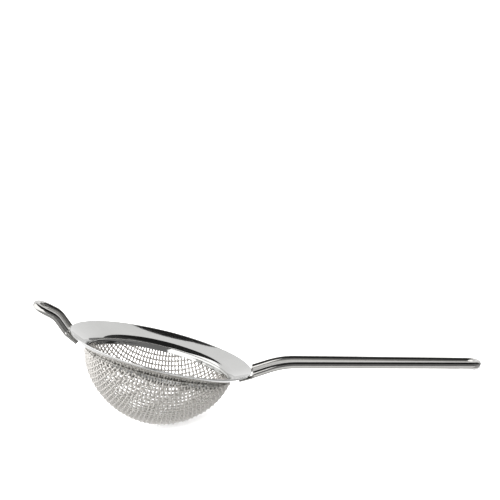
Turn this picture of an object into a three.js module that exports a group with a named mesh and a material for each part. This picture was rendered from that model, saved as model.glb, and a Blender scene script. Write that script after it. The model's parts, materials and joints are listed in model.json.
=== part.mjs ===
// A long-handled tea strainer of stainless steel, in millimetres with +Z up.
//
// It is made of five pieces: a dished flange, a narrow ring that backs the cloth, a bowl of wire cloth,
// a hairpin handle and a short loop that rests on the far side of a cup. Nothing on it moves.
//
// Every piece is shaped in the rim's own frame: the origin is the centre of the lip's top face, Z is the
// rim's axis and X runs towards the handle. The whole is then laid on a table as it would come to rest,
// on the underside of its bowl and the end of its handle.
import * as THREE from 'three';

const { PI, sin, cos, tan, asin, atan2, ceil, round, min, max } = Math;
const degrees = (angle) => THREE.MathUtils.degToRad(angle);

// The space left between neighbours that are welded or pressed together on the real thing.
const GAP = 0.3;

// The flange, pressed from one sheet.
const RIM_RADIUS = 47.5;
const LIP_WIDTH = 0.5;
const SHEET = 0.8;
const DISH_SLOPE = degrees(29);
const BEND_RADIUS = 1.1;
const COLLAR_RADIUS = 37.6;
const COLLAR_HEIGHT = 0.15;

// The bowl. Its section is a superellipse: a power of 2 would be an ellipse, and less is more pointed.
const BOWL_RADIUS = 38.9;
const BOWL_DEPTH = 38.9;
const BOWL_CURVE_TOP = 4.9;
const BOWL_POWER = 1.84;
const CLOTH = 2;

// The ring inside the top of the cloth.
const RING_THICKNESS = 0.4;
const RING_HEIGHT = 1.6;

// The two wires. Their corners are [distance out from the rim's axis, half the leg spacing, height],
// and their roundings are the radii of the bends at each corner after the first.
const WIRE_RADIUS = 1.9;
const HANDLE_CORNERS = [
  [41.2, 7.85, -3.85],
  [47.5, 7.7, -0.4],
  [61.2, 7.3, 8.2],
  [158.7, 4.95, 31.8],
];
const HANDLE_ROUNDINGS = [30, 45, 4.7];
const LOOP_CORNERS = [
  [41.6, 6.6, -5.3],
  [48, 6.6, -2.2],
  [55.4, 6.6, 4.3],
  [66.7, 6.6, 6.95],
];
const LOOP_ROUNDINGS = [8, 10, 6.1];

// Both wires' ends are pressed flat where they are welded under the flange. The underside stays straight,
// and the top steps up to the round wire just outside the lip.
const PRESSED_LENGTH = 6.9;
const PRESSED_FADE = 1;
const HANDLE_PRESSED_THICKNESS = 0.4;
const LOOP_PRESSED_THICKNESS = 0.8;
const PRESSED_SPREAD = 0.55;

// How finely round shapes are cut into flat faces.
const TURN_STEPS = 64;
const BEND_STEPS = 5;
const BOWL_STEPS = 15;
const RING_STEPS = 2;
const WIRE_SIDES = 12;
const ROUNDING_CHORD = 1.7;
const PRESSED_STEPS = 2;
const SHORTEST_STEP = 0.3;

// How often the search for the resting tilt halves its interval.
const TILT_HALVINGS = 40;

// Heights that follow from the dimensions above.
const lipInside = RIM_RADIUS - LIP_WIDTH;
const bendCentreRadius = COLLAR_RADIUS + BEND_RADIUS;
const dishFoot = bendCentreRadius - BEND_RADIUS * sin(DISH_SLOPE);
const bendCentreHeight = -(lipInside - dishFoot) * tan(DISH_SLOPE) - BEND_RADIUS * cos(DISH_SLOPE);
const collarFoot = bendCentreHeight - COLLAR_HEIGHT;
const clothTop = collarFoot - GAP;

const polishedSteel = () =>
  new THREE.MeshStandardMaterial({ color: 0xd2d3d2, metalness: 1, roughness: 0.12 });
const drawnSteel = () =>
  new THREE.MeshStandardMaterial({ color: 0xb9b8b4, metalness: 1, roughness: 0.2 });
const wovenSteel = () =>
  new THREE.MeshStandardMaterial({ color: 0xc4c2bd, metalness: 1, roughness: 0.35 });

// A closed outline of [radius, height] points turned about the rim's axis.
function turned(outline) {
  const geometry = new THREE.LatheGeometry(outline, TURN_STEPS);
  geometry.rotateX(PI / 2);
  return geometry;
}

// An arc about the centre of the flange's bend. The angle is measured from straight up, turning inwards.
function bendArc(radius, fromAngle, toAngle) {
  const points = [];
  for (let step = 0; step <= BEND_STEPS; step++) {
    const angle = fromAngle + ((toAngle - fromAngle) * step) / BEND_STEPS;
    points.push(
      new THREE.Vector2(bendCentreRadius - radius * sin(angle), bendCentreHeight + radius * cos(angle)),
    );
  }
  return points;
}

// The flange: a lip whose edge is ground flat, a straight dish, a tight bend and a short collar.
function flangeGeometry() {
  const lipUnderside = LIP_WIDTH * tan(DISH_SLOPE) - SHEET / cos(DISH_SLOPE);
  return turned([
    new THREE.Vector2(RIM_RADIUS, 0),
    new THREE.Vector2(lipInside, 0),
    ...bendArc(BEND_RADIUS, DISH_SLOPE, PI / 2),
    new THREE.Vector2(COLLAR_RADIUS, collarFoot),
    new THREE.Vector2(COLLAR_RADIUS + SHEET, collarFoot),
    ...bendArc(BEND_RADIUS - SHEET, PI / 2, DISH_SLOPE),
    new THREE.Vector2(RIM_RADIUS, lipUnderside),
    new THREE.Vector2(RIM_RADIUS, 0),
  ]);
}

// The angle along the bowl's section, from 0 at its top to a right angle at its lowest point.
function bowlAngle(height, inset) {
  const share = (-height - BOWL_CURVE_TOP) / (BOWL_DEPTH - inset - BOWL_CURVE_TOP);
  return asin(share ** (BOWL_POWER / 2));
}

// Points down the bowl's section, on a surface that lies inset inside its outer one.
function bowlCurve(inset, fromAngle, toAngle, steps) {
  const points = [];
  for (let step = 0; step <= steps; step++) {
    const angle = fromAngle + ((toAngle - fromAngle) * step) / steps;
    const radius = (BOWL_RADIUS - inset) * max(cos(angle), 0) ** (2 / BOWL_POWER);
    const drop = (BOWL_DEPTH - inset - BOWL_CURVE_TOP) * sin(angle) ** (2 / BOWL_POWER);
    points.push(new THREE.Vector2(angle === PI / 2 ? 0 : radius, -BOWL_CURVE_TOP - drop));
  }
  return points;
}

// The bowl of wire cloth, as a plain shell as thick as the cloth.
function bowlGeometry() {
  const outside = bowlCurve(0, bowlAngle(clothTop, 0), PI / 2, BOWL_STEPS);
  const inside = bowlCurve(CLOTH, bowlAngle(clothTop, CLOTH), PI / 2, BOWL_STEPS);
  return turned([...outside.reverse(), ...inside]);
}

// The ring that backs the cloth from inside, shaped to the cloth's own curve.
function ringGeometry() {
  const face = (inset) =>
    bowlCurve(inset, bowlAngle(clothTop, inset), bowlAngle(clothTop - RING_HEIGHT, inset), RING_STEPS);
  const outside = face(CLOTH + GAP);
  const inside = face(CLOTH + GAP + RING_THICKNESS);
  return turned([...outside.reverse(), ...inside, outside[0]]);
}

// The arc that rounds one corner of a route, as points from one straight to the next.
function roundedCorner(before, corner, after, radius) {
  const back = before.clone().sub(corner).normalize();
  const onward = after.clone().sub(corner).normalize();
  const halfAngle = back.angleTo(onward) / 2;
  const centre = back.clone().add(onward).setLength(radius / sin(halfAngle)).add(corner);
  const start = back.clone().multiplyScalar(radius / tan(halfAngle)).add(corner).sub(centre);
  const axis = onward.clone().cross(back).normalize();
  const turn = PI - 2 * halfAngle;
  const steps = max(2, ceil((turn * radius) / ROUNDING_CHORD));
  const points = [];
  for (let step = 0; step <= steps; step++) {
    points.push(start.clone().applyAxisAngle(axis, (turn * step) / steps).add(centre));
  }
  return points;
}

// The centre line of a wire bent into a U: out along one leg, round its end and back along the other.
function wireRoute(corners, roundings, direction) {
  const corner = (side) => ([out, half, height]) => new THREE.Vector3(direction * out, side * half, height);
  const line = [...corners.map(corner(-1)), ...corners.map(corner(1)).reverse()];
  const radii = [...roundings, ...roundings.toReversed()];
  const route = [line[0]];
  for (let i = 1; i < line.length - 1; i++) {
    route.push(...roundedCorner(line[i - 1], line[i], line[i + 1], radii[i - 1]));
  }
  route.push(line[line.length - 1]);
  return route;
}

// Adds points near both ends of a route, where the wire's section changes from flat to round.
function withPressedSteps(route) {
  const total = lengthsAlong(route).at(-1);
  const added = [];
  for (let step = 0; step <= PRESSED_STEPS; step++) {
    const distance = PRESSED_LENGTH + (PRESSED_FADE * step) / PRESSED_STEPS;
    added.push(distance, total - distance);
  }
  return added.reduce(insertPoint, route);
}

// The distance along a route from its start to each of its points.
function lengthsAlong(route) {
  const lengths = [0];
  for (let i = 1; i < route.length; i++) {
    lengths.push(lengths[i - 1] + route[i].distanceTo(route[i - 1]));
  }
  return lengths;
}

// A route with one more point, unless it would lie right beside one that is already there.
function insertPoint(route, distance) {
  const lengths = lengthsAlong(route);
  const next = lengths.findIndex((length) => length > distance);
  const before = distance - lengths[next - 1];
  const after = lengths[next] - distance;
  if (min(before, after) < SHORTEST_STEP) return route;
  const point = route[next - 1].clone().lerp(route[next], before / (before + after));
  return [...route.slice(0, next), point, ...route.slice(next)];
}

// How far the wire is pressed at a distance from its nearer end: 1 is flat and 0 is round.
function pressedShare(distance) {
  return 1 - THREE.MathUtils.smoothstep(distance, PRESSED_LENGTH, PRESSED_LENGTH + PRESSED_FADE);
}

// A round wire along a route, with its ends pressed to a share of its thickness, which spreads them.
// Its section keeps one side up.
function wireGeometry(route, pressedThickness) {
  const steps = route.length - 1;
  const lengths = lengthsAlong(route);
  const sections = route.map((point, i) => {
    const along = route[min(i + 1, steps)].clone().sub(route[max(i - 1, 0)]).normalize();
    const up = new THREE.Vector3(0, 0, 1).addScaledVector(along, -along.z).normalize();
    const side = up.clone().cross(along);
    const pressed = pressedShare(min(lengths[i], lengths[steps] - lengths[i]));
    const thickness = 1 - (1 - pressedThickness) * pressed;
    const middle = point.clone().addScaledVector(up, (thickness - 1) * WIRE_RADIUS);
    up.multiplyScalar(thickness);
    side.multiplyScalar(1 + (1 - thickness) * PRESSED_SPREAD);
    return { middle, up, side };
  });
  const geometry = new THREE.CylinderGeometry(WIRE_RADIUS, WIRE_RADIUS, steps, WIRE_SIDES, steps);
  const vertices = geometry.attributes.position;
  for (let i = 0; i < vertices.count; i++) {
    const { middle, up, side } = sections[round(steps / 2 - vertices.getY(i))];
    const placed = middle.clone().addScaledVector(side, vertices.getX(i));
    placed.addScaledVector(up, vertices.getZ(i));
    vertices.setXYZ(i, placed.x, placed.y, placed.z);
  }
  geometry.computeVertexNormals();
  return geometry;
}

function piece(name, geometry, material) {
  const mesh = new THREE.Mesh(geometry, material);
  mesh.name = name;
  return mesh;
}

// The lowest height of a piece once the rim's frame is tilted by an angle, handle side down.
function lowestPoint(mesh, tilt) {
  const vertices = mesh.geometry.attributes.position;
  let lowest = Infinity;
  for (let i = 0; i < vertices.count; i++) {
    lowest = min(lowest, vertices.getZ(i) * cos(tilt) - vertices.getX(i) * sin(tilt));
  }
  return lowest;
}

// The tilt at which the bowl and the handle's end are equally low, found by halving an interval.
function restingTilt(bowl, handle) {
  let less = 0;
  let more = atan2(BOWL_DEPTH, RIM_RADIUS);
  for (let halving = 0; halving < TILT_HALVINGS; halving++) {
    const tilt = (less + more) / 2;
    if (lowestPoint(handle, tilt) > lowestPoint(bowl, tilt)) less = tilt;
    else more = tilt;
  }
  return (less + more) / 2;
}

const handleRoute = withPressedSteps(wireRoute(HANDLE_CORNERS, HANDLE_ROUNDINGS, 1));
const loopRoute = withPressedSteps(wireRoute(LOOP_CORNERS, LOOP_ROUNDINGS, -1));

const flange = piece('rim_flange', flangeGeometry(), polishedSteel());
const ring = piece('cloth_ring', ringGeometry(), polishedSteel());
const bowl = piece('mesh_bowl', bowlGeometry(), wovenSteel());
const handle = piece(
  'handle_wire',
  wireGeometry(handleRoute, HANDLE_PRESSED_THICKNESS),
  drawnSteel(),
);
const loop = piece('rest_loop', wireGeometry(loopRoute, LOOP_PRESSED_THICKNESS), drawnSteel());

// Tilted into its resting pose, then moved so that the origin is the middle of its footprint.
const strainer = new THREE.Group();
strainer.add(flange, ring, bowl, handle, loop);
strainer.rotation.y = restingTilt(bowl, handle);
const teaStrainer = new THREE.Group();
teaStrainer.add(strainer);
const extent = new THREE.Box3().setFromObject(teaStrainer, true);
const middle = extent.getCenter(new THREE.Vector3());
strainer.position.set(-middle.x, -middle.y, -extent.min.z);

export default teaStrainer;
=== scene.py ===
# A tea strainer of polished stainless steel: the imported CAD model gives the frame, and the pieces below
# give each CAD node its fine surface. Shapes are worked out in millimetres in the rim's own frame, whose
# origin is the centre of the lip's top face, with Z the rim's axis and X towards the handle.
import json
import math

import bpy
import numpy as np
from mathutils import Matrix, Vector


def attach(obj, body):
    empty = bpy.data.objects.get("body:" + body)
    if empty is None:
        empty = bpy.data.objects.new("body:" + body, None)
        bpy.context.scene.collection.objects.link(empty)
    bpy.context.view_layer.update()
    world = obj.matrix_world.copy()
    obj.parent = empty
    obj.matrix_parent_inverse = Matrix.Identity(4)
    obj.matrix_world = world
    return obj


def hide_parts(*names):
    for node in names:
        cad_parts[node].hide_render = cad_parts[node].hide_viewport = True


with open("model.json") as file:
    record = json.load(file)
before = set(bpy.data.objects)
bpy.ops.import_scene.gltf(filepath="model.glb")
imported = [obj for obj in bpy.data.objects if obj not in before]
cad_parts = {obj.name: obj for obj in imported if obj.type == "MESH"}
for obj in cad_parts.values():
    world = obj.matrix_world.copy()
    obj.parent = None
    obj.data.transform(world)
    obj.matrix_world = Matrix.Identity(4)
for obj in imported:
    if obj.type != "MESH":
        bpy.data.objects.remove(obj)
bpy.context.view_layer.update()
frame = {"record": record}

MM = 0.001

# Dimensions in millimetres that are the same in the CAD model.
RIM_RADIUS = 47.5
SHEET = 0.8
LIP_WIDTH = 0.5
DISH_SLOPE = math.radians(29)
BOWL_RADIUS = 38.9
BOWL_DEPTH = 38.9
BOWL_CURVE_TOP = 4.9
BOWL_POWER = 1.84
CLOTH_THICKNESS = 2.0
RING_THICKNESS = 0.4
WIRE_RADIUS = 1.9
HANDLE_CORNERS = [(41.2, 7.85, -3.85), (47.5, 7.7, -0.4), (61.2, 7.3, 8.2), (158.7, 4.95, 31.8)]
HANDLE_ROUNDINGS = [30, 45, 4.7]
LOOP_CORNERS = [(41.6, 6.6, -5.3), (48, 6.6, -2.2), (55.4, 6.6, 4.3), (66.7, 6.6, 6.95)]
LOOP_ROUNDINGS = [8, 10, 6.1]
PRESSED_LENGTH = 6.9
PRESSED_FADE = 1
PRESSED_SPREAD = 0.55
HANDLE_PRESSED_THICKNESS = 0.4
LOOP_PRESSED_THICKNESS = 0.8

# Shapes that differ a little from the CAD model: the dish sags, so that it is this much steeper at its outer
# end and this much flatter at its inner end, the flange's inner bend is wider, and the ring carries that bend
# on down to a foot at this radius and height.
DISH_SAG = math.radians(4.6)
BEND_RADIUS = 5.2
BEND_TURN = math.radians(66)
COLLAR_RADIUS = 36.45
RING_TURN = math.radians(82)
RING_FOOT = (36.2, -9.5)

# The rim's edge: its rounding, where between its ends the rounding's middle point lies, and the narrow strips
# of surface that keep the edge and the lip flat.
EDGE_ROUNDING = 0.15
EDGE_MIDDLE = 0.3
EDGE_STRIP = 0.03
LIP_STRIP = 0.1

# How far the rim and the wires stay inside the CAD model.
RIM_INSET = 0.01
WIRE_INSET = 0.02

# The cloth: its wire, the spacing of the wires in the flat cloth, how far the wires of each family wave up
# and down in wire thicknesses, how many wires are laid to each side of the middle, how far pressing stretched
# it and drew it together, how it is turned to the handle, and the height that its wires end at.
CLOTH_WIRE = 0.95
CLOTH_PITCH = 2.41
CLOTH_CRIMP = {"warp": 0.15, "weft": -0.52}
CLOTH_REACH = 30
CLOTH_STRETCH = 0.05
CLOTH_GATHER = 0.54
CLOTH_TURN = math.radians(5)
CLOTH_TOP = -6.9

# How finely the pieces are divided.
FLANGE_STEPS = 384
RING_STEPS = 256
DISH_STEPS = 14
BEND_STEPS = 10
RING_BEND_STEPS = 8
RING_FOOT_SHARES = np.linspace(0.1, 1, 6)
BOWL_SECTION_STEPS = 2000
CORNER_SPACING = 0.5
CORNER_FEWEST_STEPS = 6
WIRE_SPACING = 0.3
WIRE_SIDES = 28
CLOTH_WIRE_SIDES = 8
CLOTH_STEPS_PER_PITCH = 6
CLOTH_FEWEST_POINTS = 6
CLOTH_WIDEST_ANGLE = 1.5
STRETCH_ROUNDS = 12

# The steels, each under the name of its material slot.
STEELS = {
    "polished_steel": {"colour": (0.62, 0.62, 0.61), "roughness": 0.07, "variation": 0.015, "waves": 60},
    "drawn_steel": {"colour": (0.6, 0.59, 0.57), "roughness": 0.1, "variation": 0.03, "waves": 300},
    "woven_steel": {
        "colour": (0.66, 0.64, 0.61),
        "roughness": 0.36,
        "variation": 0.05,
        "waves": 300,
        "metallic": 0.88,
    },
}
NOISE_DETAIL = 4.0
BLOTCH_DARKENING = 0.94
BLOTCH_RANGE = (0.3, 0.7)

lip_inside = RIM_RADIUS - LIP_WIDTH
bend_axis = COLLAR_RADIUS + BEND_RADIUS
dish_foot = bend_axis - BEND_RADIUS * math.sin(DISH_SLOPE)
dish_drop = (lip_inside - dish_foot) * math.tan(DISH_SLOPE)
bend_centre = (bend_axis, -dish_drop - BEND_RADIUS * math.cos(DISH_SLOPE))


def rim_frame():
    """The matrix from the rim's own frame, in millimetres, to the part's frame, in metres."""
    lip = next(mount for mount in frame["record"]["mounts"] if mount["name"] == "rim_lip")
    z_axis = Vector(lip["axis"]).normalized()
    x_axis = Vector((z_axis.z, 0, -z_axis.x))
    y_axis = Vector((0, 1, 0))
    turn = Matrix((x_axis, y_axis, z_axis)).transposed().to_4x4()
    centre = Vector((lip["pos_m"][0], 0, lip["pos_m"][2]))
    return Matrix.Translation(centre) @ turn @ Matrix.Scale(MM, 4)


def steel(name, colour, roughness, variation, waves, metallic=1.0):
    """Bare steel whose colour and roughness vary over it, with this many waves of noise to a metre."""
    material = bpy.data.materials.new(name)
    material.use_nodes = True
    nodes = material.node_tree.nodes
    link = material.node_tree.links.new
    shader = nodes["Principled BSDF"]
    shader.inputs["Metallic"].default_value = metallic
    coordinates = nodes.new("ShaderNodeTexCoord")
    noise = nodes.new("ShaderNodeTexNoise")
    noise.inputs["Scale"].default_value = waves
    noise.inputs["Detail"].default_value = NOISE_DETAIL
    link(coordinates.outputs["Object"], noise.inputs["Vector"])
    rough = nodes.new("ShaderNodeMapRange")
    rough.inputs["To Min"].default_value = roughness - variation
    rough.inputs["To Max"].default_value = roughness + variation
    link(noise.outputs["Fac"], rough.inputs["Value"])
    link(rough.outputs["Result"], shader.inputs["Roughness"])
    ramp = nodes.new("ShaderNodeValToRGB")
    darker, lighter = ramp.color_ramp.elements
    darker.position, lighter.position = BLOTCH_RANGE
    darker.color = (*[c * BLOTCH_DARKENING for c in colour], 1)
    lighter.color = (*colour, 1)
    link(noise.outputs["Fac"], ramp.inputs["Fac"])
    link(ramp.outputs["Color"], shader.inputs["Base Color"])
    return material


RIM_TO_PART = rim_frame()
materials = {name: steel(name, **values) for name, values in STEELS.items()}


def make_piece(name, points, faces, slot, node):
    """A smooth mesh piece that stands for a CAD node, from points in the rim's frame."""
    turn = np.array(RIM_TO_PART)
    placed = np.asarray(points, float) @ turn[:3, :3].T + turn[:3, 3]
    mesh = bpy.data.meshes.new(name)
    mesh.from_pydata(placed.tolist(), [], faces)
    mesh.polygons.foreach_set("use_smooth", [True] * len(mesh.polygons))
    mesh.materials.append(materials[slot])
    mesh.update()
    piece = bpy.data.objects.new(name, mesh)
    bpy.context.scene.collection.objects.link(piece)
    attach(piece, "root")
    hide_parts(node)


def lathe(outline, steps):
    """Points and faces of a closed outline of (radius, height) turned about the rim's axis."""
    outline = np.array(outline)
    count = len(outline)
    angles = np.arange(steps) * 2 * math.pi / steps
    across = np.outer(np.cos(angles), outline[:, 0])
    along = np.outer(np.sin(angles), outline[:, 0])
    heights = np.tile(outline[:, 1], (steps, 1))
    points = np.stack([across, along, heights], -1).reshape(-1, 3)
    grid = np.arange(steps * count).reshape(steps, count)
    onward = np.roll(grid, -1, axis=0)
    faces = np.stack([onward, np.roll(onward, -1, axis=1), np.roll(grid, -1, axis=1), grid], -1)
    return points, faces.reshape(-1, 4).tolist()


def bend_arc(radius, start, end, steps):
    """Points about the inner bend's centre. Angles are measured from straight up, turning inwards."""
    turns = np.linspace(start, end, steps + 1)
    return [(bend_centre[0] - radius * math.sin(a), bend_centre[1] + radius * math.cos(a)) for a in turns]


def dish_line(outer, inner):
    """Points from the dish's outer end to its inner end, sagging between them."""
    outer = np.array(outer)
    inner = np.array(inner)
    share = np.linspace(0, 1, DISH_STEPS + 1)[:, None]
    down = np.array((outer[1] - inner[1], inner[0] - outer[0]))
    return [tuple(p) for p in outer + (inner - outer) * share + down * DISH_SAG * share * (1 - share)]


def flange_outline():
    """The pressed flange's section: its lip, its dish and its inner bend."""
    slope = math.tan(DISH_SLOPE)
    side = RIM_RADIUS - RIM_INSET
    underside = LIP_WIDTH * slope - SHEET / math.cos(DISH_SLOPE)
    lip_edge = [
        (side, underside + EDGE_ROUNDING),
        (side, underside + EDGE_ROUNDING + EDGE_STRIP),
        (side, -EDGE_ROUNDING - EDGE_STRIP),
        (side, -EDGE_ROUNDING),
        (RIM_RADIUS - EDGE_ROUNDING * EDGE_MIDDLE, -EDGE_ROUNDING * EDGE_MIDDLE),
        (RIM_RADIUS - EDGE_ROUNDING, 0),
        (lip_inside + LIP_STRIP, 0),
    ]
    dish_end = DISH_SLOPE - DISH_SAG
    top_bend = bend_arc(BEND_RADIUS, dish_end, BEND_TURN, BEND_STEPS)
    top_dish = dish_line((lip_inside - LIP_STRIP, -LIP_STRIP * slope), top_bend[0])
    ring_seat = bend_arc(BEND_RADIUS - RING_THICKNESS, BEND_TURN, RING_TURN, 1)
    under_bend = bend_arc(BEND_RADIUS - SHEET, RING_TURN, dish_end, BEND_STEPS)
    under_start = (RIM_RADIUS - EDGE_ROUNDING, underside - EDGE_ROUNDING * slope + RIM_INSET)
    under_dish = dish_line(under_start, under_bend[-1])[::-1]
    return lip_edge + top_dish[:-1] + top_bend + ring_seat + under_bend + under_dish[1:]


def ring_outline():
    """The ring's section: it carries the flange's bend on, down to its foot at the top of the cloth."""
    inside = bend_arc(BEND_RADIUS, BEND_TURN, RING_TURN, RING_BEND_STEPS)
    outside = bend_arc(BEND_RADIUS - RING_THICKNESS, BEND_TURN, RING_TURN, RING_BEND_STEPS)
    start = np.array(inside[-1])
    foot = np.array(RING_FOOT)
    inside += [tuple(start + (foot - start) * share) for share in RING_FOOT_SHARES]
    outside.append((foot[0] + RING_THICKNESS, foot[1]))
    return inside + outside[::-1]


def tubes(routes, normals, radius, sides, tall=1.0, wide=1.0):
    """Points and faces of closed tubes along routes.

    The normals point to each section's top. Tall and wide scale the sections, and where a section is less
    tall, its underside stays where it was.
    """
    points, faces = [], []
    first = 0
    around = np.arange(sides) * 2 * math.pi / sides
    for route, normal in zip(routes, normals):
        along = np.gradient(route, axis=0)
        along /= np.linalg.norm(along, axis=1, keepdims=True)
        up = normal - (normal * along).sum(1, keepdims=True) * along
        up /= np.linalg.norm(up, axis=1, keepdims=True)
        side = np.cross(along, up)
        count = len(route)
        height = np.broadcast_to(tall, count)[:, None]
        width = np.broadcast_to(wide, count)[:, None]
        section = (up * height)[:, None] * np.cos(around)[:, None]
        section = section + (side * width)[:, None] * np.sin(around)[:, None]
        middle = route + up * radius * (height - 1)
        points.append((middle[:, None] + radius * section).reshape(-1, 3))
        grid = first + np.arange(count * sides).reshape(count, sides)
        turned = np.roll(grid, -1, axis=1)
        faces += np.stack([turned[:-1], turned[1:], grid[1:], grid[:-1]], -1).reshape(-1, 4).tolist()
        faces.append(grid[0][::-1].tolist())
        faces.append(grid[-1].tolist())
        first += count * sides
    return np.concatenate(points), faces


def bowl_section():
    """The cloth's middle line, from its lowest point up: lengths along it, radii and heights."""
    inset = CLOTH_THICKNESS / 2
    angle = np.linspace(math.pi / 2, 0, BOWL_SECTION_STEPS + 1)
    depth = BOWL_DEPTH - inset - BOWL_CURVE_TOP
    radius = (BOWL_RADIUS - inset) * np.cos(angle).clip(0) ** (2 / BOWL_POWER)
    height = -BOWL_CURVE_TOP - depth * np.sin(angle) ** (2 / BOWL_POWER)
    steps = np.hypot(np.diff(radius), np.diff(height))
    return np.concatenate([[0], np.cumsum(steps)]), radius, height


def cloth_surface(u, v):
    """Where points of the flat cloth come to lie on the pressed bowl, and the bowl's normals there."""
    lengths, radii, heights = bowl_section()
    full = lengths[-1]
    widest = full * 2 / math.pi / CLOTH_GATHER
    across = np.tan(np.clip(u / widest, -CLOTH_WIDEST_ANGLE, CLOTH_WIDEST_ANGLE))
    along = np.tan(np.clip(v / widest, -CLOTH_WIDEST_ANGLE, CLOTH_WIDEST_ANGLE))
    turn = np.arctan2(along, across) + CLOTH_TURN
    flat = widest * np.arctan(np.hypot(across, along))
    length = flat
    for _ in range(STRETCH_ROUNDS):
        length = flat / (1 - CLOTH_STRETCH * (length / full) ** 2)
    radius = np.interp(length, lengths, radii)
    height = np.interp(length, lengths, heights)
    outwards = np.interp(length, lengths, np.gradient(radii, lengths))
    upwards = np.interp(length, lengths, np.gradient(heights, lengths))
    point = np.stack([radius * np.cos(turn), radius * np.sin(turn), height], -1)
    normal = np.stack([upwards * np.cos(turn), upwards * np.sin(turn), -outwards], -1)
    return point, normal


def cloth_family(direction):
    """Routes and normals of all the wires that run one way through the cloth."""
    routes, normals = [], []
    steps = CLOTH_REACH * CLOTH_STEPS_PER_PITCH
    along = np.arange(-steps, steps + 1) / CLOTH_STEPS_PER_PITCH
    for index in range(-CLOTH_REACH, CLOTH_REACH + 1):
        across = np.full_like(along, index)
        u, v = (along, across) if direction == "warp" else (across, along)
        point, normal = cloth_surface(u * CLOTH_PITCH, v * CLOTH_PITCH)
        kept = point[:, 2] < CLOTH_TOP
        if kept.sum() < CLOTH_FEWEST_POINTS:
            continue
        lift = CLOTH_CRIMP[direction] * CLOTH_WIRE * np.cos(math.pi * (along + index))
        routes.append((point + normal * lift[:, None])[kept])
        normals.append(normal[kept])
    return routes, normals


def rounded_corner(before, corner, after, radius):
    """Points on the arc that rounds one corner of a wire's line."""
    back = (before - corner).normalized()
    onward = (after - corner).normalized()
    half = back.angle(onward) / 2
    centre = corner + (back + onward).normalized() * radius / math.sin(half)
    start = corner + back * radius / math.tan(half) - centre
    axis = onward.cross(back).normalized()
    turn = math.pi - 2 * half
    steps = max(CORNER_FEWEST_STEPS, math.ceil(turn * radius / CORNER_SPACING))
    return [Matrix.Rotation(turn * i / steps, 3, axis) @ start + centre for i in range(steps + 1)]


def wire_route(corners, roundings, direction):
    """The centre line of a wire bent into a U, as evenly spaced points, and the length up to each."""
    leg = [Vector((direction * out, -half, height)) for out, half, height in corners]
    line = leg + [Vector((p.x, -p.y, p.z)) for p in reversed(leg)]
    radii = roundings + roundings[::-1]
    route = [line[0]]
    for i in range(1, len(line) - 1):
        route += rounded_corner(line[i - 1], line[i], line[i + 1], radii[i - 1])
    route.append(line[-1])
    rough = np.array(route)
    lengths = np.concatenate([[0], np.cumsum(np.linalg.norm(np.diff(rough, axis=0), axis=1))])
    even = np.linspace(0, lengths[-1], round(lengths[-1] / WIRE_SPACING) + 1)
    return np.stack([np.interp(even, lengths, rough[:, k]) for k in range(3)], -1), even


def bent_wire(name, corners, roundings, direction, pressed, node):
    """A wire bent into a U, with both ends pressed flat under the flange."""
    route, lengths = wire_route(corners, roundings, direction)
    normals = np.tile([0.0, 0.0, 1.0], (len(route), 1))
    from_end = np.minimum(lengths, lengths[-1] - lengths)
    share = np.clip((from_end - PRESSED_LENGTH) / PRESSED_FADE, 0, 1)
    flat = 1 - share * share * (3 - 2 * share)
    tall = 1 - (1 - pressed) * flat
    wide = 1 + (1 - tall) * PRESSED_SPREAD
    points, faces = tubes([route], [normals], WIRE_RADIUS - WIRE_INSET, WIRE_SIDES, tall, wide)
    make_piece(name, points, faces, "drawn_steel", node)


# The camera, as it stands to the rim, in millimetres: it looks across the rim from just above it, rolled to
# one side. Only its clipping distances are in metres.
CAMERA_AZIMUTH = math.radians(-93)
CAMERA_ELEVATION = math.radians(6.755)
CAMERA_ROLL = math.radians(14.392)
CAMERA_DISTANCE = 600.0
CAMERA_LENS = 84.72
CAMERA_SENSOR = 36.0
CAMERA_CLIP = (0.01, 20.0)
RIM_RIGHT_OF_MIDDLE = -45.0
RIM_ABOVE_MIDDLE = -50.27


def camera_axes():
    """The camera's own axes in the rim's frame: to its right, up and backwards."""
    flat = math.cos(CAMERA_ELEVATION)
    across = flat * math.cos(CAMERA_AZIMUTH)
    along = flat * math.sin(CAMERA_AZIMUTH)
    back = Vector((across, along, math.sin(CAMERA_ELEVATION)))
    right = Vector((0, 0, 1)).cross(back).normalized()
    up = back.cross(right)
    roll = Matrix.Rotation(CAMERA_ROLL, 3, back)
    return roll @ right, roll @ up, back


def add_camera():
    """The scene's camera."""
    right, up, back = camera_axes()
    turn = Matrix((right, up, back)).transposed().to_4x4()
    turn.translation = back * CAMERA_DISTANCE - right * RIM_RIGHT_OF_MIDDLE - up * RIM_ABOVE_MIDDLE
    data = bpy.data.cameras.new("camera")
    data.lens = CAMERA_LENS
    data.sensor_width = CAMERA_SENSOR
    data.clip_start, data.clip_end = CAMERA_CLIP
    camera = bpy.data.objects.new("camera", data)
    bpy.context.scene.collection.objects.link(camera)
    in_part = RIM_TO_PART @ turn
    camera.matrix_world = Matrix.LocRotScale(in_part.translation, in_part.to_quaternion(), (1, 1, 1))
    bpy.context.scene.camera = camera


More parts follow.
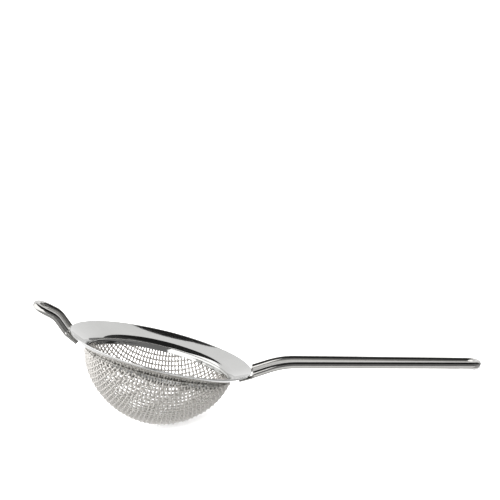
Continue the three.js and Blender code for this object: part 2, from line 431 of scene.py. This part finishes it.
# The studio, in metres. What the polished steel mirrors is a sphere of patches about the rim. In degrees,
# turns are counted from straight behind the object towards its right, and heights from level:
# (name, turn from, turn to, height from, height to, glow).
WORLD_GLOW = 3.4
FLOOR_HALF_SIZE = 6
FLOOR_BRIGHTNESS = 0.9
STUDIO_RADIUS = 2.5
PATCH_STEP = 4
PATCHES = [
    ("softbox_left", -174, -62, -16, 90, 1.75),
    ("wall_behind", -62, 22, -5, 90, 1.0),
    ("wall_behind_right", 22, 64, 15, 90, 1.0),
    ("flag_right_low", 22, 110, -8, 15, 0.25),
    ("flag_right_high", 64, 110, 15, 90, 0.05),
    ("flag_right_near", 110, 186, 28, 90, 0.05),
    ("camera_side", 110, 186, -8, 28, 0.22),
    ("camera_low", 110, 186, -20, -8, 0.05),
    ("low_left", -174, -62, -90, -16, 0.45),
    ("low_behind", -62, 35, -90, -5, 1.1),
    ("low_right", 35, 110, -90, -8, 0.45),
    ("low_camera", 110, 186, -90, -20, 0.9),
]

# A black panel overhead, drawn as if it were one metre up: how far it reaches towards the camera, and points
# along its far edge as (to the right, away from the camera).
PANEL_NEAR = -1.6
PANEL_FAR_EDGE = [(-0.6, 0.7), (-0.12, 0.37), (0.03, 0.28), (1.9, 0.28)]
PANEL_HEIGHT = 1.5
PANEL_GLOW = 0.02


def floor_material():
    """A matt, pale floor."""
    material = bpy.data.materials.new("floor")
    material.use_nodes = True
    shader = material.node_tree.nodes["Principled BSDF"]
    shader.inputs["Base Color"].default_value = (FLOOR_BRIGHTNESS, FLOOR_BRIGHTNESS, FLOOR_BRIGHTNESS, 1)
    shader.inputs["Roughness"].default_value = 0.9
    shader.inputs["Specular IOR Level"].default_value = 0.0
    return material


def glow_material(name, strength):
    """A plain glow for a card."""
    material = bpy.data.materials.new(name)
    material.use_nodes = True
    nodes = material.node_tree.nodes
    nodes.clear()
    output = nodes.new("ShaderNodeOutputMaterial")
    glow = nodes.new("ShaderNodeEmission")
    glow.inputs["Strength"].default_value = strength
    material.node_tree.links.new(glow.outputs["Emission"], output.inputs["Surface"])
    return material


def stage_mesh(name, points, faces, material):
    """A mesh that belongs to the studio and not to the object."""
    mesh = bpy.data.meshes.new(name)
    mesh.from_pydata(points, [], faces)
    mesh.materials.append(material)
    piece = bpy.data.objects.new(name, mesh)
    bpy.context.scene.collection.objects.link(piece)
    return piece


def add_card(name, grid, strength):
    """A glowing card that only reflections see, from a grid of (right, away, up) as the camera sees them."""
    right, up, back = camera_axes()
    turn = np.array(RIM_TO_PART)[:3, :3] / MM
    centre = np.array(RIM_TO_PART.translation)
    axes = turn @ np.array([right, -back, up]).T
    points = [tuple(axes @ np.array(way) + centre) for row in grid for way in row]
    count = len(grid[0])
    corners = [i * count + j for i in range(len(grid) - 1) for j in range(count - 1)]
    faces = [(a, a + 1, a + count + 1, a + count) for a in corners]
    card = stage_mesh(name, points, faces, glow_material(name, strength))
    card.visible_camera = False
    card.visible_shadow = False
    card.visible_diffuse = False


def studio_point(turn, height):
    """The point of the studio's sphere in one direction, as (right, away, up)."""
    flat = STUDIO_RADIUS * math.cos(height)
    return flat * math.sin(turn), flat * math.cos(turn), STUDIO_RADIUS * math.sin(height)


def patch_angles(low, high):
    """Angles in radians from one end of a patch to the other."""
    return np.radians(np.linspace(low, high, round((high - low) / PATCH_STEP) + 1))


def add_cards():
    """Everything that the steel mirrors."""
    for name, turn_from, turn_to, low, high, strength in PATCHES:
        turns = patch_angles(turn_from, turn_to)
        heights = patch_angles(low, high)
        add_card(name, [[studio_point(turn, height) for height in heights] for turn in turns], strength)
    near = PANEL_NEAR * PANEL_HEIGHT
    far_edge = [(x * PANEL_HEIGHT, y * PANEL_HEIGHT) for x, y in PANEL_FAR_EDGE]
    add_card("panel", [[(x, near, PANEL_HEIGHT), (x, y, PANEL_HEIGHT)] for x, y in far_edge], PANEL_GLOW)


def add_studio():
    """The soft light from all round, the floor and the cards."""
    world = bpy.data.worlds.new("studio")
    bpy.context.scene.world = world
    world.use_nodes = True
    background = world.node_tree.nodes["Background"]
    background.inputs["Color"].default_value = (1, 1, 1, 1)
    background.inputs["Strength"].default_value = WORLD_GLOW
    size = FLOOR_HALF_SIZE
    corners = [(-size, -size, 0), (size, -size, 0), (size, size, 0), (-size, size, 0)]
    floor = stage_mesh("floor", corners, [(0, 1, 2, 3)], floor_material())
    floor.visible_glossy = False
    add_cards()


bpy.context.scene.view_settings.view_transform = "Standard"
add_camera()
add_studio()

make_piece("flange", *lathe(flange_outline(), FLANGE_STEPS), "polished_steel", "rim_flange")
make_piece("ring", *lathe(ring_outline(), RING_STEPS), "polished_steel", "cloth_ring")
for family in ("warp", "weft"):
    routes, normals = cloth_family(family)
    points, faces = tubes(routes, normals, CLOTH_WIRE / 2, CLOTH_WIRE_SIDES)
    make_piece("cloth_" + family, points, faces, "woven_steel", "mesh_bowl")
bent_wire("handle", HANDLE_CORNERS, HANDLE_ROUNDINGS, 1, HANDLE_PRESSED_THICKNESS, "handle_wire")
bent_wire("loop", LOOP_CORNERS, LOOP_ROUNDINGS, -1, LOOP_PRESSED_THICKNESS, "rest_loop")
